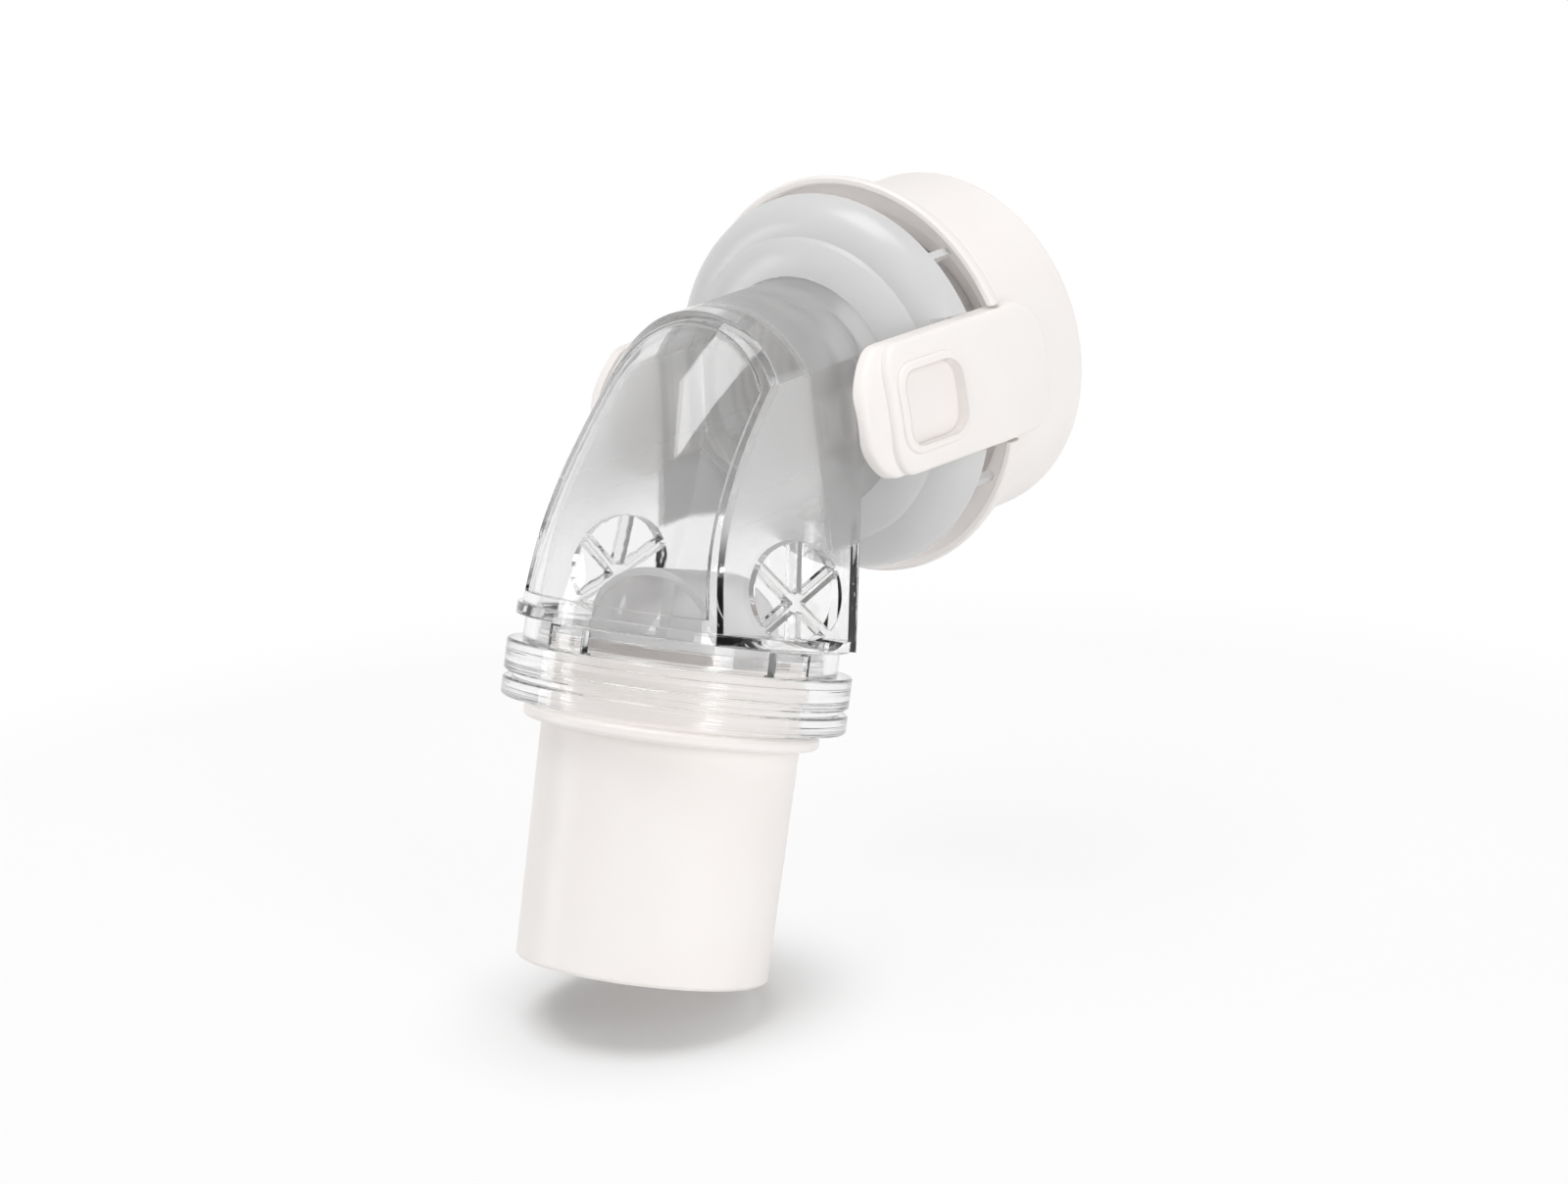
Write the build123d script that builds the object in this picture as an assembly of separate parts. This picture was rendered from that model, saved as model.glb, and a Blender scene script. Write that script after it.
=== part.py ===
from build123d import *
from math import cos, radians, sin, sqrt
import os

# Elbow assembly of a full face breathing mask. Millimetres, +Z up, +Y towards the mask.
# The origin is the centre of the socket mouth that goes over the mask's port.

# Layout
tube_lean = 18.0            # hose axis, forward of straight down
ring_turn = 6.0             # clip ring turned about its axis against the elbow
crossing_to_mouth = 32.8    # from the crossing of both axes back to the socket mouth

# Elbow body, with depths measured down the hose axis from the crossing
wall = 1.2
neck_radius = 10.25
neck_bore_radius = 8.8
neck_tail = 6.4             # rear end of the neck, ahead of the socket mouth
bead_setback = 0.55         # from the neck's rear end to its snap bead
bead_height = 0.45
bead_length = 1.1
skirt_radius = 14.2
skirt_depth = 17.2
ledge_thickness = 1.0
rear_foot_radius = 14.75
rear_top_radius = 12.9
rear_top_depth = -5.0
neck_flat = 1.2             # depth of the flats cut into the neck's sides
side_spread = 2.1           # added to each side's half width at the foot
side_curve = 1.5
crest_forward = 2.65
crest_depth = -9.85
crest_margin = 0.6
bell_sections = 7
crest_curve = 1.8
seam_forward = 8.15
seam_depth = 11.0
seam_top_forward = 2.35
seam_top_depth = -4.4
seam_curve = 1.6
flat_setback = 3.9          # the neck stays round for this length ahead of the cover
bell_gap = 0.4              # from the cover forward to the bell
rim_width = 0.9
rim_height = 0.25
rim_foot = 2.0

# Side inlets
port_half_width = 5.9
port_half_height = 4.3
port_forward = -1.7
port_rise = 4.6             # from the skirt's foot up to the middle of the inlet
port_cut = 3.0
port_hub_radius = 0.9
port_hub_drop = 0.8         # from the middle of the inlet down to its hub
spoke_width = 0.75
spoke_count = 6

# Foot of the elbow and the base ring
band_radius = 13.4
band_wall = 1.1
band_length = 2.0
window_count = 4
window_turn = 6.0
window_width = 4.0
snap_gap = 0.15
tab_recess = 0.1
ring_gap = 0.1
flange_radius = 14.7
upper_flange = 2.7
flange_groove = 0.5
groove_radius = 13.9
lower_flange = 1.6
flange_chamfer = 0.15

# Valve membrane
membrane = 0.7
membrane_gap = 0.05
membrane_lap = 0.4
flap_reach = 8.2
flap_half_length = 4.6
flap_corner = 3.0
flap_rise = 5.6
flap_droop = 1.8
spine_width = 2.4
post_width = 1.2
post_half_length = 2.5

# Swivel tube
cone_radius = 11.0          # large end of the 22 mm cone
cone_taper = 1 / 80         # radius lost for each millimetre, 1 in 40 on the diameter
cone_length = 20.3
tube_wall = 1.5
tube_flange_radius = 12.6
tube_flange = 1.0
flange_gap = 0.6
swivel_clearance = 0.06
sleeve_wall = 1.2
sleeve_rise = 5.6
snap_height = 0.35
snap_length = 1.2
snap_setback = 1.0
tube_chamfer = 0.25

# Clip ring
socket_radius = 14.2
socket_depth = 6.0
latch_groove = 0.3
latch_groove_length = 1.2
collar_wall = 1.4
web_start = 8.3
web_thickness = 1.4
hub_clearance = 0.1
hub_wall = 1.3
hub_length = 4.0
rim_start = 10.6
rim_reach = 2.2             # from the collar out to the rim
rim_length = 2.7
rim_wall = 0.8
rim_flare = 1.2
rim_bend = 0.4
rim_lip = 1.0
collar_chamfer = 0.3
rim_chamfer = 0.2
vent_hole_radius = 0.45
vent_hole_setback = 0.6        # from the hub out to the circle of holes
vent_hole_count = 24

# Vent cover and diffuser
cover_edge_inset = 1.03     # from the rim in to the cover's edge
cover_edge_lift = 2.3       # from the rim forward to the cover's edge
cover_height = 4.5
cover_step_inset = 3.17
cover_step = 0.3
cover_shoulder = 3.06       # from the cover's edge forward to the step
cover_bulge = 0.78
crown_bulge = 0.22
cover_wall = 0.9
cover_gap = 0.15
cover_sleeve = 2.0
cover_notch_gap = 0.95      # from the arms in to the cover's notches
rib_inset = 0.3
rib_head = 1.7
rib_toe = 0.5
rib_sink = 0.6
rib_width = 0.7
rib_angles = (41.0, -34.0, 139.0, 214.0)
diffuser_thickness = 2.0
seat_gap = 0.1

# Release arms
arm_half_width = 5.7
arm_start = 7.8
arm_end = 30.7
arm_corner = 2.8
arm_root_wall = 2.05
arm_front_wall = 1.7
arm_taper = 0.09
arm_gap = 0.25
arm_side_gap = 0.25
pad_setback = 2.7
pad_rise = 0.7
arm_round = 0.6
lip_width = 0.7
lip_height = 0.3
lip_round = 0.25
recess_setback = 4.1        # from the arm's front end back to the recess
recess_length = 7.0
recess_half_width = 3.2
recess_depth = 0.75
recess_corner = 1.6
pivot_setback = 2.6         # from the arm's rear end forward to its pivot
pivot_inset = 1.4           # from the collar's outside in to the pivot
trunnion_radius = 0.55
trunnion_clearance = 0.05
boss_half_width = 2.7
boss_half_height = 0.65
boss_inset = 0.5
slot_reach = 0.9
boss_gap = 0.3
ear_reach = 1.2
trunnion_length = 1.2
ear_width = 1.5

# Sizes worked out from those above
side_top_half_width = neck_radius - neck_flat
side_foot_half_width = side_top_half_width + side_spread
port_depth = skirt_depth - port_rise
band_bore = band_radius - band_wall
band_foot = skirt_depth + band_length
ring_top = band_foot + ring_gap
ring_foot = ring_top + upper_flange + flange_groove + lower_flange
spigot_top = skirt_depth + membrane + 2 * membrane_gap
spigot_radius = band_bore - snap_gap
sleeve_bore = spigot_radius - sleeve_wall
tube_bore = cone_radius - tube_wall
tube_flange_top = ring_foot + flange_gap
snap_top = ring_top + snap_setback
hub_bore = neck_radius + hub_clearance
hub_radius = hub_bore + hub_wall
web_end = web_start + web_thickness
chamber_radius = socket_radius + latch_groove
collar_radius = socket_radius + collar_wall
rim_radius = collar_radius + rim_reach
rim_end = rim_start + rim_length
cover_edge_radius = rim_radius - cover_edge_inset
cover_edge = rim_end + cover_edge_lift
cover_top = cover_edge + cover_height
cover_step_radius = cover_edge_radius - cover_step_inset
arm_bore = collar_radius + arm_gap
arm_radius = arm_bore + arm_root_wall
pivot_radius = collar_radius - pivot_inset
pivot_forward = arm_start + pivot_setback
ear_bore = pivot_radius - ear_reach
boss_slot_half = boss_half_width + boss_gap
ear_half = boss_slot_half + ear_width
beyond = 4 * collar_radius  # longer than the whole part, for cutters that pass through

# Frames: the ring frame's Z runs forward from the mouth, the tube frame's runs down the hose axis
crossing = (0, -crossing_to_mouth, 0)
ring_plane = Plane(origin=(0, 0, 0), x_dir=(1, 0, 0), z_dir=(0, -1, 0))
turned_plane = Plane(
    origin=(0, 0, 0),
    x_dir=(cos(radians(ring_turn)), 0, sin(radians(ring_turn))),
    z_dir=(0, -1, 0),
)
tube_axis = (0, -sin(radians(tube_lean)), -cos(radians(tube_lean)))
tube_plane = Plane(origin=crossing, x_dir=(1, 0, 0), z_dir=tube_axis)


def turned_solid(corners):
    """Solid of revolution about the local Z axis from (radius, height) corners.

    A third number in a corner is the length of its chamfer.
    """
    face = Sketch() + make_face(Polyline([(c[0], 0, c[1]) for c in corners], close=True))
    for corner in corners:
        if len(corner) == 3:
            vertex = face.vertices().sort_by_distance((corner[0], 0, corner[1]))[0]
            face = chamfer(vertex, corner[2])
    return revolve(face, axis=Axis.Z)


def tube(outer, inner, low, high):
    """Plain ring between two heights."""
    return turned_solid([(inner, low), (outer, low), (outer, high), (inner, high)])


def disc(radius, low, high):
    """Plain cylinder between two heights."""
    return Pos(0, 0, (low + high) / 2) * Cylinder(radius, high - low)


def side_half_width(depth):
    """Half the width over the sides, which flare towards the foot."""
    share = max(0, depth - seam_top_depth) / (skirt_depth - seam_top_depth)
    return side_top_half_width + side_spread * share**side_curve


def rear_radius(depth):
    """Radius of the rear wall about the hose axis."""
    share = (depth - rear_top_depth) / (skirt_depth - rear_top_depth)
    return rear_top_radius + share * (rear_foot_radius - rear_top_radius)


def crest(depth):
    """How far forward the middle of the front window lies."""
    fall = (skirt_radius - crest_forward) / (skirt_depth - crest_depth) ** crest_curve
    return skirt_radius - fall * (skirt_depth - depth) ** crest_curve


def seam(depth):
    """How far forward the edge between the window and a side lies."""
    fall = (seam_forward - seam_top_forward) / (seam_depth - seam_top_depth) ** seam_curve
    return seam_forward - fall * max(0, seam_depth - depth) ** seam_curve


def bell_section(depth, inset, side_inset):
    """Cross-section square to the hose axis: a front arc, two flat sides and a rear arc."""
    half = side_half_width(depth)
    edge, top = seam(depth), crest(depth)
    rise = top - edge
    arc_radius = (half**2 + rise**2) / (2 * rise)
    centre = top - arc_radius
    half -= side_inset
    edge = centre + sqrt((arc_radius - inset) ** 2 - half**2)
    back = rear_radius(depth) - inset
    heel = sqrt(back**2 - half**2)
    front = ThreePointArc((-half, edge), (0, top - inset), (half, edge))
    rear = ThreePointArc((half, -heel), (0, -back), (-half, -heel))
    sides = [Line((half, edge), (half, -heel)), Line((-half, -heel), (-half, edge))]
    outline = Wire([front, sides[0], rear, sides[1]])
    return Pos(0, 0, depth) * Face(outline)


def bell(inset=0.0, side_inset=None):
    """Bell of the elbow, wider towards its foot, closed above the neck."""
    side_inset = inset if side_inset is None else side_inset
    top = crest_depth - crest_margin
    step = (skirt_depth - top) / (bell_sections - 1)
    depths = [top + step * i for i in range(bell_sections)]
    return tube_plane * loft([bell_section(d, inset, side_inset) for d in depths])


def in_front_of(forward):
    """Everything ahead of a place on the ring's axis."""
    return ring_plane * disc(beyond, forward, beyond)


def below_shoulders(inset):
    """Everything below the neck's shoulders, and the neck's own cylinder above them."""
    radius = neck_radius - inset
    shoulder = sqrt(radius**2 - (side_top_half_width - inset) ** 2)
    block = Pos(0, -crossing_to_mouth, shoulder - beyond / 2) * Box(beyond, 2 * beyond, beyond)
    return block + ring_plane * disc(radius, cover_top, beyond)


def elbow_form(inset, radius, tail):
    """Bell and neck in one, with flat sides, all set in from the outside by the inset."""
    body = bell(inset) & below_shoulders(inset) & in_front_of(cover_top + bell_gap + inset)
    neck = ring_plane * disc(radius, tail, crossing_to_mouth)
    round_part = ring_plane * disc(radius, tail, cover_top + flat_setback)
    flats = tube_plane * Box(2 * (side_top_half_width - inset), beyond, beyond)
    return body + (neck & (round_part + flats))


def elbow_outside():
    """Outer form of the elbow."""
    return elbow_form(0, neck_radius, neck_tail)


def elbow_inside():
    """Air space of the elbow, open at the foot and through the neck."""
    return elbow_form(wall, neck_bore_radius, neck_tail - wall)


def window_recess():
    """Shallow recess of the front window, inside a rim along its edges."""
    skin = bell(-rim_height, rim_width) - bell(rim_height, 0)
    front = Pos(0, beyond / 2, skirt_depth - rim_foot - beyond / 2) * Box(beyond, beyond, beyond)
    return skin & tube_plane * front & below_shoulders(rim_width)


def side_port():
    """Cutter for the right inlet: an ellipse less its hub and six spokes."""
    plane = Plane(origin=(side_foot_half_width, port_forward, port_depth), x_dir=(0, 1, 0), z_dir=(1, 0, 0))
    outline = Ellipse(port_half_width, port_half_height)
    spokes = Sketch() + Circle(port_hub_radius)
    for i in range(spoke_count):
        turn = 360 * (i + 0.5) / spoke_count
        spokes += Rot(0, 0, turn) * Pos(port_half_width / 2, 0) * Rectangle(port_half_width, spoke_width)
    wheel = Pos(0, port_hub_drop) * spokes
    return tube_plane * plane * extrude(outline - wheel, amount=port_cut, both=True)


def window_cross(width, low, high):
    """Bars through all the snap windows, in the tube frame."""
    bars = [
        Rot(0, 0, window_turn + 180 * i / window_count) * Box(3 * band_radius, width, high - low)
        for i in range(0, window_count, 2)
    ]
    return Pos(0, 0, (low + high) / 2) * (bars[0] + bars[1:])


def elbow_foot():
    """Ledge that closes the bell out to the skirt, and a band with four snap windows under it."""
    ledge = disc(skirt_radius, skirt_depth - ledge_thickness, skirt_depth)
    band = tube(band_radius, band_bore, skirt_depth, band_foot)
    band -= window_cross(window_width, skirt_depth + snap_gap, band_foot + wall)
    return tube_plane * ledge - bell(wall) + tube_plane * band


def elbow_body():
    """Clear elbow with its neck bead, window rim, inlets and foot."""
    body = elbow_outside() + elbow_foot() - elbow_inside()
    bead_low = neck_tail + bead_setback
    bead = tube(neck_radius + bead_height, neck_bore_radius, bead_low, bead_low + bead_length)
    body += ring_plane * bead
    body -= window_recess()
    port = side_port()
    body -= port
    body -= mirror(port, about=Plane.YZ)
    return body


def base_ring():
    """Clear ring that snaps into the elbow's foot and holds the swivel tube."""
    outline = [
        (sleeve_bore, spigot_top),
        (spigot_radius, spigot_top),
        (spigot_radius, ring_top),
        (flange_radius, ring_top, flange_chamfer),
        (flange_radius, ring_top + upper_flange, flange_chamfer),
        (groove_radius, ring_top + upper_flange),
        (groove_radius, ring_top + upper_flange + flange_groove),
        (flange_radius, ring_top + upper_flange + flange_groove, flange_chamfer),
        (flange_radius, ring_foot, flange_chamfer),
        (sleeve_bore, ring_foot),
    ]
    ring = turned_solid(outline)
    groove = sleeve_bore + snap_height + snap_gap
    ring -= tube(groove, sleeve_bore - snap_gap, snap_top - snap_gap, snap_top + snap_length + snap_gap)
    tab_low = skirt_depth + 2 * snap_gap
    tabs = window_cross(window_width - 2 * snap_gap, tab_low, ring_top + tab_recess)
    tabs &= tube(band_radius - tab_recess, spigot_radius - tab_recess, tab_low, ring_top + tab_recess)
    return tube_plane * (ring + tabs)


def valve_membrane():
    """Silicone valve: a clamped ring, a spine across it and an arched flap for each inlet."""
    middle = (skirt_depth + spigot_top) / 2
    low, high = middle - membrane / 2, middle + membrane / 2
    ring = tube(spigot_radius - snap_gap, sleeve_bore - membrane_lap, low, high)
    spine = Pos(0, 0, middle) * Box(spine_width, 2 * sleeve_bore, membrane)
    top, tip, inner = middle - flap_rise, middle + flap_droop, flap_reach - membrane
    upper = ThreePointArc((-flap_reach, tip), (0, top), (flap_reach, tip))
    lower = ThreePointArc((inner, tip), (0, top + membrane), (-inner, tip))
    ends = [Line(upper @ 1, lower @ 0), Line(lower @ 1, upper @ 0)]
    section = Plane.XZ * make_face([upper, ends[0], lower, ends[1]])
    flaps = extrude(section, amount=flap_half_length, both=True)
    outline = RectangleRounded(2 * flap_reach, 2 * flap_half_length, flap_corner)
    flaps &= extrude(outline, amount=beyond, both=True)
    post_top = top + membrane / 2
    post = Pos(0, 0, (post_top + middle) / 2) * Box(post_width, 2 * post_half_length, middle - post_top)
    return tube_plane * (ring + spine + flaps + post)


def swivel_tube():
    """White tube: a sleeve with a snap bead, a flange and the cone for the hose."""
    sleeve = sleeve_bore - swivel_clearance
    cone_top = tube_flange_top + tube_flange
    cone_foot = cone_top + cone_length
    cone_end = cone_radius - cone_length * cone_taper
    outline = [
        (tube_bore, tube_flange_top - sleeve_rise),
        (sleeve, tube_flange_top - sleeve_rise),
        (sleeve, snap_top),
        (sleeve + snap_height, snap_top),
        (sleeve + snap_height, snap_top + snap_length / 2),
        (sleeve, snap_top + snap_length),
        (sleeve, tube_flange_top),
        (tube_flange_radius, tube_flange_top, tube_chamfer),
        (tube_flange_radius, cone_top, tube_chamfer),
        (cone_radius, cone_top, tube_chamfer),
        (cone_end, cone_foot, tube_chamfer),
        (tube_bore, cone_foot, tube_chamfer),
    ]
    return tube_plane * turned_solid(outline)


def arm_slot(inner_radius, low, high):
    """Cutter under both arms: outside a radius, as wide as the arms and their gap."""
    width = 2 * (arm_half_width + arm_side_gap)
    return Pos(0, 0, (low + high) / 2) * Box(beyond, width, high - low) - disc(inner_radius, low, high)


def clip_ring():
    """White collar: socket, vent plate with its hub, flared rim and the arms' ears."""
    outline = [
        (socket_radius, 0),
        (collar_radius, 0, collar_chamfer),
        (collar_radius, rim_start, collar_chamfer),
        (rim_radius - rim_bend, rim_start + rim_flare, collar_chamfer),
        (rim_radius, rim_start + rim_flare + rim_wall, collar_chamfer),
        (rim_radius, rim_end, rim_chamfer),
        (rim_radius - rim_wall, rim_end, rim_chamfer),
        (rim_radius - rim_wall, rim_end - rim_lip),
        (chamber_radius, rim_start),
        (chamber_radius, web_end),
        (hub_radius, web_end),
        (hub_radius, web_start + hub_length),
        (hub_bore, web_start + hub_length),
        (hub_bore, web_start),
        (socket_radius, web_start),
        (socket_radius, socket_depth + latch_groove_length),
        (chamber_radius, socket_depth + latch_groove_length),
        (chamber_radius, socket_depth),
        (socket_radius, socket_depth),
    ]
    ring = turned_solid(outline)
    holes = PolarLocations(hub_radius + vent_hole_setback, vent_hole_count)
    ring -= [p * disc(vent_hole_radius, web_start - wall, web_end + wall) for p in holes]
    ring -= arm_slot(collar_radius, rim_start, rim_end + rim_lip)
    ring = ring - boss_slot() + arm_ears()
    bore = Rot(90, 0, 0) * Cylinder(trunnion_radius + trunnion_clearance, 2 * ear_half)
    for side in (-1, 1):
        ring -= Pos(side * pivot_radius, 0, pivot_forward) * bore
    return turned_plane * ring


def boss_slot():
    """Cutter through the collar's wall for the bosses of both arms."""
    low, high = pivot_forward - slot_reach, rim_end + rim_lip
    block = Pos(0, 0, (low + high) / 2) * Box(beyond, 2 * boss_slot_half, high - low)
    return block - disc(ear_bore - seat_gap, low, high)


def arm_ears():
    """Two ears inside the collar for the trunnions of each arm."""
    low, high = web_end - seat_gap, pivot_forward + ear_reach
    blocks = Box(beyond, 2 * ear_half, high - low)
    blocks -= Box(beyond, 2 * boss_slot_half, high - low)
    blocks -= Box(2 * ear_bore, beyond, high - low)
    return Pos(0, 0, (low + high) / 2) * blocks & disc(collar_radius - trunnion_clearance, low, high)


def cover_face():
    """Upper line of the cover from its edge to the neck: two bulged slopes with a small step between."""
    seat = neck_radius + cover_gap
    shoulder = cover_edge + cover_shoulder
    crown = shoulder + cover_step
    crown_radius = cover_step_radius - cover_step
    return [
        SagittaArc((cover_edge_radius, cover_edge), (cover_step_radius, shoulder), -cover_bulge),
        Line((cover_step_radius, shoulder), (crown_radius, crown)),
        SagittaArc((crown_radius, crown), (seat, cover_top), -crown_bulge),
    ]


def vent_cover():
    """Grey cover: a domed, stepped ring on the neck, with ribs down to the clip ring."""
    outer = cover_face()
    seat = neck_radius + cover_gap
    inner = Polyline(
        outer[0] @ 0,
        (cover_edge_radius - cover_wall, cover_edge),
        (cover_step_radius - cover_wall / 2, cover_edge + cover_shoulder - cover_wall),
        (seat, cover_top - cover_wall),
        outer[-1] @ 1,
    )
    section = make_face(outer + [inner])
    sleeve = tube(seat + cover_wall, seat, cover_top - cover_wall - cover_sleeve, cover_top - cover_wall)
    cover = revolve(Plane.XZ * section, axis=Axis.Z) + sleeve
    reach = cover_edge_radius - rib_inset
    toe = rim_end - rib_sink
    fin = Polyline(
        (reach - rib_head, cover_edge + 0.3 * cover_height),
        (reach, cover_edge + rib_inset),
        (reach, toe),
        (reach - rib_toe, toe),
        close=True,
    )
    rib = extrude(Plane.XZ * make_face(fin), amount=rib_width / 2, both=True)
    for angle in rib_angles:
        cover += Rot(0, 0, angle) * rib
    cover -= arm_slot(arm_bore - cover_notch_gap, rim_start, cover_top)
    return turned_plane * cover


def vent_diffuser():
    """Ring of diffuser fabric over the vent holes."""
    low = web_end + seat_gap
    return turned_plane * tube(ear_bore - seat_gap, hub_radius + seat_gap, low, low + diffuser_thickness)


def arm_outline(low, high, half_width, corner):
    """Rounded outline of an arm, seen from the side, as a tall cutter."""
    shape = Pos((low + high) / 2, 0) * RectangleRounded(high - low, 2 * half_width, corner)
    return Plane(origin=(0, 0, 0), x_dir=(0, 0, 1), z_dir=(1, 0, 0)) * extrude(shape, amount=beyond)


def arm_shell(lift, bore_lift=0.0):
    """Curved plate that follows the collar and leans in a little towards the front."""
    outer, inner = arm_radius + lift, arm_bore + bore_lift
    front = arm_radius - arm_taper * (arm_end - rim_end)
    section = Polyline(
        (inner, 0),
        (outer, 0),
        (outer, rim_end),
        (front + lift, arm_end),
        (front - arm_front_wall + bore_lift, arm_end),
        (inner, rim_end),
        close=True,
    )
    return revolve(Plane.XZ * make_face(section), axis=Axis.Z)


def softened(plate, radius):
    """The plate with the outline of its outer face rounded."""
    faces = plate.faces().filter_by(lambda f: f.normal_at().X > 0.9 and f.center().X > arm_bore)
    edges = [e for f in faces for e in f.edges()]
    return fillet([e for e in edges if edges.count(e) == 1], radius)


def release_arm():
    """Right arm: stepped plate with a finger recess, and a boss with its trunnions."""
    far = arm_end - recess_setback
    near = far - recess_length
    plate = arm_shell(-pad_rise) & arm_outline(arm_start, arm_end, arm_half_width, arm_corner)
    pad = arm_shell(0) & arm_outline(arm_start, arm_end - pad_setback, arm_half_width, arm_corner)
    lip_half, lip_corner = recess_half_width + lip_width, recess_corner + lip_width
    lip_outline = arm_outline(near - lip_width, far + lip_width, lip_half, lip_corner)
    lip = arm_shell(lip_height, arm_front_wall / 2) & lip_outline
    floor = arm_shell(-recess_depth)
    recess = arm_outline(near, far, recess_half_width, recess_corner) - floor
    arm = softened(plate, arm_round) + softened(pad, arm_round) + softened(lip, lip_round) - recess
    boss_top = arm_bore + seat_gap
    boss = Box(boss_top - pivot_radius + boss_inset, 2 * boss_half_width, 2 * boss_half_height)
    boss = Pos((boss_top + pivot_radius - boss_inset) / 2, 0, pivot_forward) * boss
    pin = Rot(90, 0, 0) * Cylinder(trunnion_radius, 2 * (boss_half_width + trunnion_length))
    return arm + boss + Pos(pivot_radius, 0, pivot_forward) * pin


def main():
    os.makedirs("parts", exist_ok=True)
    arm = release_arm()
    nodes = {
        "elbow_body": elbow_body(),
        "base_ring": base_ring(),
        "valve_membrane": valve_membrane(),
        "swivel_tube": swivel_tube(),
        "clip_ring": clip_ring(),
        "vent_cover": vent_cover(),
        "vent_diffuser": vent_diffuser(),
        "release_arm_right": turned_plane * arm,
        "release_arm_left": turned_plane * mirror(arm, about=Plane.YZ),
    }
    for name, solid in nodes.items():
        export_step(solid, f"parts/{name}.step")


main()
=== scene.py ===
from math import cos, radians, sin, sqrt

import bmesh
import bpy
from mathutils import Matrix, Vector

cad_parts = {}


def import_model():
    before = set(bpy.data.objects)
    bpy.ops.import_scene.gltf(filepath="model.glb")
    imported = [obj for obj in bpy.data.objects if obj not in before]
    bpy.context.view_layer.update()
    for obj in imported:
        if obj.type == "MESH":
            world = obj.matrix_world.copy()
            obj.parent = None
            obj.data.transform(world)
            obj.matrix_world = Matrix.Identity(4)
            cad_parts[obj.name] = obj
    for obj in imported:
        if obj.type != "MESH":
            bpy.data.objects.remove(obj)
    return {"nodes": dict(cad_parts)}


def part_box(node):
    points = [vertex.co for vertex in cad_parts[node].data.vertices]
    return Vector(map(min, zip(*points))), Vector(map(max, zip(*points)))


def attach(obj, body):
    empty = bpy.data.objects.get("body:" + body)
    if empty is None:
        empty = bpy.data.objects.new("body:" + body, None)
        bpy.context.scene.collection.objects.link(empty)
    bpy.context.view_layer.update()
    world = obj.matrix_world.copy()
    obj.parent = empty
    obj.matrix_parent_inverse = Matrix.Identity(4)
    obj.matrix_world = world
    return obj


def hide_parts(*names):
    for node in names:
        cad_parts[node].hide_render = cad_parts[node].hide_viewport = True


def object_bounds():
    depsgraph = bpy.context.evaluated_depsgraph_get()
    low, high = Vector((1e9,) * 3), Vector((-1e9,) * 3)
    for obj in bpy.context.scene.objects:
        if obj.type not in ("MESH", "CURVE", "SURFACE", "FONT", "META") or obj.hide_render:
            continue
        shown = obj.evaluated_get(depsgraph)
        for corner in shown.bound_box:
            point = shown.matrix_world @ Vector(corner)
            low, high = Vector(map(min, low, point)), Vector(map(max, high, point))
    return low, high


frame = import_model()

cad_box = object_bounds()
MM = 0.001
NODES = frame["nodes"]

# Photograph: where the camera stood, in the row frame
CAMERA_PLACE = Vector((211.9, -273.2, 82.5)) * MM
CAMERA_RIGHT = Vector((0.77338, 0.62956, -0.07441))
CAMERA_UP = Vector((-0.12875, 0.27091, 0.95396))
CAMERA_LENS = 90.0
CAMERA_SENSOR = 36.0
CAMERA_CLIP = (0.01, 20.0)

# Studio: the room that gloss and clear plastic show is darker behind the camera than ahead of it
STUDIO_CENTRE = Vector((0.0, -0.033, -0.012))
WORLD_LIGHT = 0.57
ROOM_DARK = 0.33
ROOM_FADE = (-0.25, 0.5)

# Floor, and the distances from the tube's open end over which the shadow's dark core turns pale
# and its pale surround turns white
FLOOR_DROP = 0.6 * MM
FLOOR_REACH = 4.0
FLOOR_GREY = (0.85, 0.85, 0.85)
TUBE_FOOT = -46.5 * MM
SHADOW_CORE = (0.007, 0.022)
SHADOW_REACH = (0.03, 0.13)
SHADOW_PALE = 0.82

# Clear plastic
CLEAR_IOR = 1.5
CLEAR_EDGE = 0.15 * MM
CLEAR_WAVE = 0.4 * MM
CLEAR_TINT = (0.955, 0.955, 0.955)
CLEAR_TINT_HIGH = (0.98, 0.98, 0.98)

# Elbow: how far a wall faces sideways, and how high it is, where its sides turn frosted and take a
# painted shade, a grey that darkens them towards the top
FROST_AND_SHADE_FACING = (0.8, 0.93)
FROST_AND_SHADE_HEIGHT = (-11.0 * MM, -1.0 * MM)
FROST_AND_PAINTED_SHADE_TINT = (0.72, 0.72, 0.72)

# Elbow: the neck starts at a place along Y and a height, and is frosted and darkened to grey by a
# painted shade from a radius on, with painted rings of reflected light and shade in its bore, counted
# per metre
NECK_FROST_AND_SHADE_Y = (-30.0 * MM, -29.5 * MM)
NECK_FROST_AND_SHADE_Z = (-10.9 * MM, -10.3 * MM)
NECK_FROST_AND_SHADE_RADIUS = (9.1 * MM, 9.6 * MM)
NECK_PAINTED_SHADE_TINT = (0.5, 0.5, 0.5)
NECK_AXIS = Vector((0, 1, 0))
PAINTED_BORE_RING_SCALE = 420.0
PAINTED_BORE_RING_SHARE = (0.05, 0.75)
PAINTED_BORE_RING_NOISE = (0.4, 0.6)

# Elbow: from clear to fully frosted
SHELL_ROUGHNESS = (0.02, 0.28)
SHELL_TRANSMISSION = (1.0, 0.55)

# Base ring: the direction of the hose axis, and the moulded steps along it, per metre
HOSE_AXIS = Vector((0, -0.309, -0.951))
RING_STEPS = 650.0
RING_RELIEF = 0.45

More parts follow.
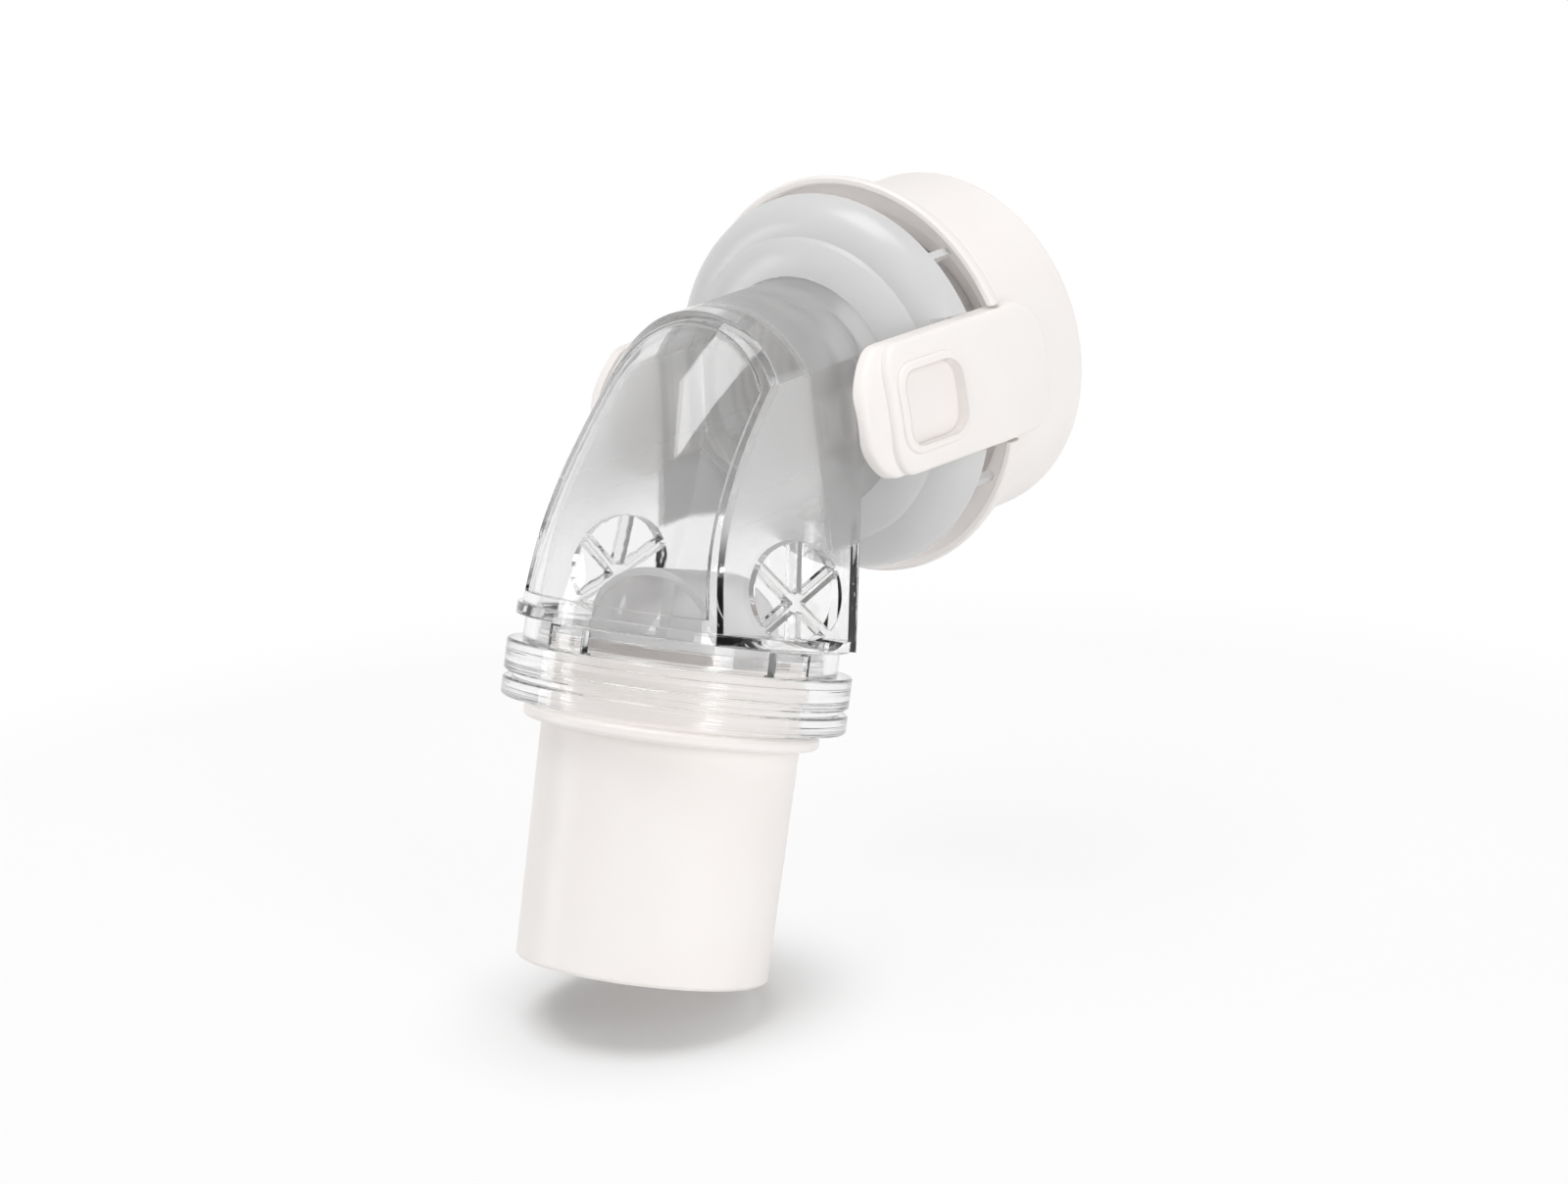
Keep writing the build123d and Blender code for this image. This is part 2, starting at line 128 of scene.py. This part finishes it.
# Release arms: they are turned with the clip ring, and their front ends are rounder in the
# photograph than in the solids, with larger corners and a dome that fades out behind the end
RING_TURN = radians(6)
ARM_HALF_WIDTH = 5.7 * MM
SOLID_CORNER = 2.8 * MM
ARM_CORNER = 3.9 * MM
FRONT_RADIUS = 8.0 * MM
FRONT_DEPTH = 6.0 * MM
WELD = 0.001 * MM
SHARP = radians(35)


def shader_tree(name):
    """A new material, the tree that holds its shader, and the shader."""
    material = bpy.data.materials.new(name)
    material.use_nodes = True
    return material, material.node_tree, material.node_tree.nodes["Principled BSDF"]


def object_place(tree):
    """Position on the object, in metres in the row frame."""
    return tree.nodes.new("ShaderNodeTexCoord").outputs["Object"]


def noise(tree, scale, detail=2.0, rough=0.5):
    """Noise in the object's own coordinates; scale is in features per metre."""
    pattern = tree.nodes.new("ShaderNodeTexNoise")
    pattern.inputs["Scale"].default_value = scale
    pattern.inputs["Detail"].default_value = detail
    pattern.inputs["Roughness"].default_value = rough
    tree.links.new(object_place(tree), pattern.inputs["Vector"])
    return pattern.outputs["Fac"]


def rings(tree, axis, scale, detail):
    """Uneven steps along an axis, the same all around it."""
    along = tree.nodes.new("ShaderNodeVectorMath")
    along.operation = "DOT_PRODUCT"
    along.inputs[1].default_value = axis
    tree.links.new(object_place(tree), along.inputs[0])
    pattern = tree.nodes.new("ShaderNodeTexNoise")
    pattern.noise_dimensions = "1D"
    pattern.inputs["Scale"].default_value = scale
    pattern.inputs["Detail"].default_value = detail
    tree.links.new(along.outputs["Value"], pattern.inputs["W"])
    return pattern.outputs["Fac"]


def spread(tree, value, low, high, start=0.3, end=0.7):
    """A number that runs from low to high as value goes from start to end."""
    node = tree.nodes.new("ShaderNodeMapRange")
    node.interpolation_type = "SMOOTHSTEP"
    node.inputs["From Min"].default_value = start
    node.inputs["From Max"].default_value = end
    node.inputs["To Min"].default_value = low
    node.inputs["To Max"].default_value = high
    tree.links.new(value, node.inputs["Value"])
    return node.outputs["Result"]


def shade(tree, value, low, high):
    """Colour that runs from low to high as value goes from 0 to 1."""
    node = tree.nodes.new("ShaderNodeMix")
    node.data_type = "RGBA"
    node.inputs["A"].default_value = (*low, 1)
    node.inputs["B"].default_value = (*high, 1)
    tree.links.new(value, node.inputs["Factor"])
    return node.outputs["Result"]


def math_node(tree, operation, a, b):
    """Result of an operation on two values."""
    node = tree.nodes.new("ShaderNodeMath")
    node.operation = operation
    tree.links.new(a, node.inputs[0])
    tree.links.new(b, node.inputs[1])
    return node.outputs[0]


def product(tree, a, b):
    """a times b."""
    return math_node(tree, "MULTIPLY", a, b)


def larger(tree, a, b):
    """The larger of two values."""
    return math_node(tree, "MAXIMUM", a, b)


def two_shades(tree, shader, scale, low, high):
    """Base colour that wanders between two near shades."""
    wander = spread(tree, noise(tree, scale), 0, 1)
    tree.links.new(shade(tree, wander, low, high), shader.inputs["Base Color"])


def gloss(tree, shader, scale, low, high):
    """Roughness that wanders between two values."""
    tree.links.new(spread(tree, noise(tree, scale), low, high), shader.inputs["Roughness"])


def relief(tree, shader, height, strength, distance, edge):
    """Fine relief on the shader's normal, over edges rounded by a radius."""
    rounded = tree.nodes.new("ShaderNodeBevel")
    rounded.samples = 4
    rounded.inputs["Radius"].default_value = edge
    node = tree.nodes.new("ShaderNodeBump")
    node.inputs["Strength"].default_value = strength
    node.inputs["Distance"].default_value = distance
    tree.links.new(height, node.inputs["Height"])
    tree.links.new(rounded.outputs["Normal"], node.inputs["Normal"])
    tree.links.new(node.outputs["Normal"], shader.inputs["Normal"])


def lets_light_in(tree, shader, share):
    """Lets a share of the light that falls on other pieces pass straight through this one."""
    path = tree.nodes.new("ShaderNodeLightPath")
    passing = larger(tree, path.outputs["Is Shadow Ray"], path.outputs["Is Diffuse Ray"])
    gap = tree.nodes.new("ShaderNodeBsdfTransparent")
    mix = tree.nodes.new("ShaderNodeMixShader")
    tree.links.new(spread(tree, passing, 0, share, 0, 1), mix.inputs["Fac"])
    tree.links.new(shader.outputs[0], mix.inputs[1])
    tree.links.new(gap.outputs[0], mix.inputs[2])
    tree.links.new(mix.outputs[0], tree.nodes["Material Output"].inputs["Surface"])


def frost_and_painted_shade_shares(tree):
    """How frosted the elbow is and how far a painted shade darkens it: high on its sides, and all over
    its neck with painted rings of light and shade in its bore.
    """
    place = tree.nodes.new("ShaderNodeTexCoord")
    facing = tree.nodes.new("ShaderNodeSeparateXYZ")
    tree.links.new(place.outputs["Normal"], facing.inputs[0])
    sideways = tree.nodes.new("ShaderNodeMath")
    sideways.operation = "ABSOLUTE"
    tree.links.new(facing.outputs["X"], sideways.inputs[0])
    where = tree.nodes.new("ShaderNodeSeparateXYZ")
    tree.links.new(place.outputs["Object"], where.inputs[0])
    # Painted shade: the grey tint of the sides grows towards the top
    high = spread(tree, where.outputs["Z"], 0, 1, *FROST_AND_SHADE_HEIGHT)
    side = product(tree, spread(tree, sideways.outputs[0], 0, 1, *FROST_AND_SHADE_FACING), high)
    across = tree.nodes.new("ShaderNodeVectorMath")
    across.operation = "MULTIPLY"
    across.inputs[1].default_value = (1, 0, 1)
    tree.links.new(place.outputs["Object"], across.inputs[0])
    from_axis = tree.nodes.new("ShaderNodeVectorMath")
    from_axis.operation = "LENGTH"
    tree.links.new(across.outputs["Vector"], from_axis.inputs[0])
    outside = spread(tree, from_axis.outputs["Value"], 0, 1, *NECK_FROST_AND_SHADE_RADIUS)
    behind = spread(tree, where.outputs["Y"], 0, 1, *NECK_FROST_AND_SHADE_Y)
    above = spread(tree, where.outputs["Z"], 0, 1, *NECK_FROST_AND_SHADE_Z)
    # Painted rings of reflected light and shade along the bore
    steps = rings(tree, NECK_AXIS, scale=PAINTED_BORE_RING_SCALE, detail=1.0)
    bore = spread(tree, steps, *PAINTED_BORE_RING_SHARE, *PAINTED_BORE_RING_NOISE)
    neck = product(tree, product(tree, behind, above), larger(tree, outside, bore))
    return side, neck


def clear_shell():
    """Clear moulded plastic of the elbow, with the slight waviness of a thin wall, and frosted parts
    that a painted shade darkens to grey.
    """
    material, tree, shader = shader_tree("clear_shell")
    side, neck = frost_and_painted_shade_shares(tree)
    share = larger(tree, side, neck)
    # Painted shade: the frosted sides and the neck turn a darker grey than the clear plastic
    tint = shade(tree, neck, CLEAR_TINT, NECK_PAINTED_SHADE_TINT)
    tree.links.new(shade(tree, side, CLEAR_TINT, FROST_AND_PAINTED_SHADE_TINT), tint.node.inputs["A"])
    tree.links.new(tint, shader.inputs["Base Color"])
    tree.links.new(spread(tree, share, *SHELL_ROUGHNESS, 0, 1), shader.inputs["Roughness"])
    clearness = spread(tree, share, *SHELL_TRANSMISSION, 0, 1)
    tree.links.new(clearness, shader.inputs["Transmission Weight"])
    shader.inputs["IOR"].default_value = CLEAR_IOR
    waves = noise(tree, scale=120.0, detail=1.0)
    relief(tree, shader, waves, strength=0.04, distance=CLEAR_WAVE, edge=CLEAR_EDGE)
    lets_light_in(tree, shader, share=0.9)
    return material


def clear_ring():
    """Clear moulded plastic of the base ring, with fine steps around it."""
    material, tree, shader = shader_tree("clear_ring")
    two_shades(tree, shader, scale=60.0, low=CLEAR_TINT, high=CLEAR_TINT_HIGH)
    gloss(tree, shader, scale=180.0, low=0.015, high=0.05)
    shader.inputs["Transmission Weight"].default_value = 1.0
    shader.inputs["IOR"].default_value = CLEAR_IOR
    steps = rings(tree, HOSE_AXIS, scale=RING_STEPS, detail=3.0)
    relief(tree, shader, steps, strength=RING_RELIEF, distance=CLEAR_WAVE, edge=CLEAR_EDGE)
    lets_light_in(tree, shader, share=0.9)
    return material


def white_plastic():
    """Warm white moulded plastic with a fine grain and a satin gloss."""
    material, tree, shader = shader_tree("white_plastic")
    two_shades(tree, shader, scale=90.0, low=(0.875, 0.835, 0.81), high=(0.895, 0.86, 0.84))
    gloss(tree, shader, scale=260.0, low=0.33, high=0.43)
    shader.inputs["IOR"].default_value = 1.49
    grain = noise(tree, scale=2600.0, detail=1.0)
    relief(tree, shader, grain, strength=0.12, distance=0.02 * MM, edge=0.2 * MM)
    return material


def grey_cover():
    """Grey half-clear plastic with a soft, satin surface."""
    material, tree, shader = shader_tree("grey_cover")
    two_shades(tree, shader, scale=100.0, low=(0.61, 0.61, 0.612), high=(0.635, 0.635, 0.637))
    gloss(tree, shader, scale=300.0, low=0.255, high=0.265)
    shader.inputs["IOR"].default_value = 1.49
    lets_light_in(tree, shader, share=0.9)
    return material


def valve_silicone():
    """Milky translucent silicone."""
    material, tree, shader = shader_tree("valve_silicone")
    two_shades(tree, shader, scale=140.0, low=(0.84, 0.84, 0.845), high=(0.9, 0.9, 0.905))
    gloss(tree, shader, scale=300.0, low=0.28, high=0.42)
    shader.inputs["IOR"].default_value = 1.41
    shader.inputs["Transmission Weight"].default_value = 0.75
    grain = noise(tree, scale=900.0)
    relief(tree, shader, grain, strength=0.1, distance=0.03 * MM, edge=0.1 * MM)
    lets_light_in(tree, shader, share=0.6)
    return material


def diffuser_fabric():
    """Fine felted cloth."""
    material, tree, shader = shader_tree("diffuser_fabric")
    fibres = noise(tree, scale=3500.0, detail=6.0, rough=0.7)
    cloth = shade(tree, spread(tree, fibres, 0, 1), low=(0.68, 0.66, 0.66), high=(0.76, 0.74, 0.74))
    tree.links.new(cloth, shader.inputs["Base Color"])
    shader.inputs["Roughness"].default_value = 0.9
    shader.inputs["Sheen Weight"].default_value = 0.3
    relief(tree, shader, fibres, strength=0.5, distance=0.1 * MM, edge=0.1 * MM)
    return material


def paint(node, material):
    """Gives a node one material."""
    mesh = NODES[node].data
    mesh.materials.clear()
    mesh.materials.append(material)


def half_width(depth, corner):
    """Half of an arm's width at a depth behind its front end, with corners of a radius."""
    if depth >= corner:
        return ARM_HALF_WIDTH
    return ARM_HALF_WIDTH - corner + sqrt(max(corner ** 2 - (corner - depth) ** 2, 0))


def swept_back(depth, height):
    """How far the domed front end lies behind the solid's straight one, off the arm's middle line."""
    dome = FRONT_RADIUS - sqrt(FRONT_RADIUS ** 2 - height ** 2)
    return dome * max(1 - depth / FRONT_DEPTH, 0) ** 2


def rounded_arm(side, material):
    """Arm with a rounder front end than its solid has, in that solid's place."""
    node = f"release_arm_{side}"
    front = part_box(node)[0].y
    up = Vector((-sin(RING_TURN), 0, cos(RING_TURN)))
    shape = bmesh.new()
    shape.from_mesh(NODES[node].data)
    bmesh.ops.remove_doubles(shape, verts=shape.verts, dist=WELD)
    for point in shape.verts:
        depth = max(point.co.y - front, 0)
        narrower = half_width(depth, ARM_CORNER) / half_width(depth, SOLID_CORNER)
        height = point.co.dot(up)
        point.co -= up * height * (1 - narrower)
        point.co.y += swept_back(depth, height * narrower)
    mesh = bpy.data.meshes.new(f"arm_{side}")
    shape.to_mesh(mesh)
    shape.free()
    if mesh.has_custom_normals:
        mesh.attributes.remove(mesh.attributes["custom_normal"])
    mesh.shade_smooth()
    mesh.set_sharp_from_angle(angle=SHARP)
    mesh.materials.append(material)
    arm = bpy.data.objects.new(f"arm_{side}", mesh)
    bpy.context.scene.collection.objects.link(arm)
    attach(arm, f"{side}_arm")
    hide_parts(node)


def camera():
    """Camera that stands where the photograph was taken from."""
    data = bpy.data.cameras.new("camera")
    data.lens = CAMERA_LENS
    data.sensor_width = CAMERA_SENSOR
    data.clip_start, data.clip_end = CAMERA_CLIP
    holder = bpy.data.objects.new("camera", data)
    bpy.context.scene.collection.objects.link(holder)
    back = CAMERA_RIGHT.cross(CAMERA_UP)
    turn = Matrix((CAMERA_RIGHT, CAMERA_UP, back)).transposed().to_4x4()
    holder.matrix_world = Matrix.Translation(CAMERA_PLACE) @ turn
    bpy.context.scene.camera = holder


def area_light(name, direction, distance, size, power, glossy=True):
    """Soft box that looks at the object from a direction, and shows in gloss where that is asked."""
    data = bpy.data.lights.new(name, "AREA")
    data.shape = "RECTANGLE"
    data.size, data.size_y = size
    data.energy = power
    lamp = bpy.data.objects.new(name, data)
    bpy.context.scene.collection.objects.link(lamp)
    direction = Vector(direction).normalized()
    lamp.location = STUDIO_CENTRE + direction * distance
    lamp.rotation_mode = "QUATERNION"
    lamp.rotation_quaternion = direction.to_track_quat("Z", "Y")
    lamp.visible_glossy = glossy


def seen_directly(tree):
    """1 where a ray comes straight from the camera, a mirror or clear plastic."""
    path = tree.nodes.new("ShaderNodeLightPath")
    first = larger(tree, path.outputs["Is Camera Ray"], path.outputs["Is Glossy Ray"])
    return larger(tree, first, path.outputs["Is Transmission Ray"])


def world():
    """White to the camera, a room with a dark side in gloss and clear plastic, soft light elsewhere."""
    data = bpy.data.worlds.new("world")
    bpy.context.scene.world = data
    data.use_nodes = True
    tree = data.node_tree
    light = tree.nodes["Background"]
    light.inputs["Color"].default_value = (1, 1, 1, 1)
    light.inputs["Strength"].default_value = WORLD_LIGHT
    place = tree.nodes.new("ShaderNodeTexCoord")
    ahead = tree.nodes.new("ShaderNodeVectorMath")
    ahead.operation = "DOT_PRODUCT"
    ahead.inputs[1].default_value = CAMERA_UP.cross(CAMERA_RIGHT)
    tree.links.new(place.outputs["Generated"], ahead.inputs[0])
    brightness = spread(tree, ahead.outputs["Value"], ROOM_DARK, 1.0, *ROOM_FADE)
    room = tree.nodes.new("ShaderNodeBackground")
    tree.links.new(brightness, room.inputs["Strength"])
    white = tree.nodes.new("ShaderNodeBackground")
    white.inputs["Strength"].default_value = 1.0
    path = tree.nodes.new("ShaderNodeLightPath")
    inner = tree.nodes.new("ShaderNodeMixShader")
    tree.links.new(seen_directly(tree), inner.inputs["Fac"])
    tree.links.new(light.outputs[0], inner.inputs[1])
    tree.links.new(room.outputs[0], inner.inputs[2])
    outer = tree.nodes.new("ShaderNodeMixShader")
    tree.links.new(path.outputs["Is Camera Ray"], outer.inputs["Fac"])
    tree.links.new(inner.outputs[0], outer.inputs[1])
    tree.links.new(white.outputs[0], outer.inputs[2])
    tree.links.new(outer.outputs[0], tree.nodes["World Output"].inputs["Surface"])


def floor():
    """Pale floor that keeps the shadow near the object and fades to white around it."""
    low = cad_box[0].z - FLOOR_DROP
    signs = ((-1, -1), (1, -1), (1, 1), (-1, 1))
    corners = [(x * FLOOR_REACH, y * FLOOR_REACH, low) for x, y in signs]
    mesh = bpy.data.meshes.new("floor")
    mesh.from_pydata(corners, [], [(0, 1, 2, 3)])
    sheet = bpy.data.objects.new("floor", mesh)
    bpy.context.scene.collection.objects.link(sheet)
    material, tree, shader = shader_tree("floor")
    shader.inputs["Base Color"].default_value = (*FLOOR_GREY, 1)
    shader.inputs["Roughness"].default_value = 0.8
    shader.inputs["Specular IOR Level"].default_value = 0.1
    glow = tree.nodes.new("ShaderNodeEmission")
    from_foot = tree.nodes.new("ShaderNodeVectorMath")
    from_foot.operation = "DISTANCE"
    from_foot.inputs[1].default_value = (0, TUBE_FOOT, low)
    tree.links.new(object_place(tree), from_foot.inputs[0])
    core = spread(tree, from_foot.outputs["Value"], 0, SHADOW_PALE, *SHADOW_CORE)
    around = spread(tree, from_foot.outputs["Value"], 0, 1, *SHADOW_REACH)
    glowing = product(tree, larger(tree, core, around), seen_directly(tree))
    mix = tree.nodes.new("ShaderNodeMixShader")
    tree.links.new(glowing, mix.inputs["Fac"])
    tree.links.new(shader.outputs[0], mix.inputs[1])
    tree.links.new(glow.outputs[0], mix.inputs[2])
    tree.links.new(mix.outputs[0], tree.nodes["Material Output"].inputs["Surface"])
    mesh.materials.append(material)


def main():
    white = white_plastic()
    paint("elbow_body", clear_shell())
    paint("base_ring", clear_ring())
    paint("swivel_tube", white)
    paint("clip_ring", white)
    paint("vent_cover", grey_cover())
    paint("valve_membrane", valve_silicone())
    paint("vent_diffuser", diffuser_fabric())
    for side in ("right", "left"):
        rounded_arm(side, white)
    world()
    floor()
    area_light("top", (-0.1, -0.15, 1.0), distance=0.55, size=(0.3, 0.3), power=1.2)
    area_light("right", (0.93, -0.3, 0.25), distance=0.6, size=(0.16, 0.5), power=1.5, glossy=False)
    area_light("left", (-0.8, -0.6, 0.1), distance=0.6, size=(0.12, 0.4), power=0.6)
    camera()
    bpy.context.scene.view_settings.view_transform = "Standard"


main()
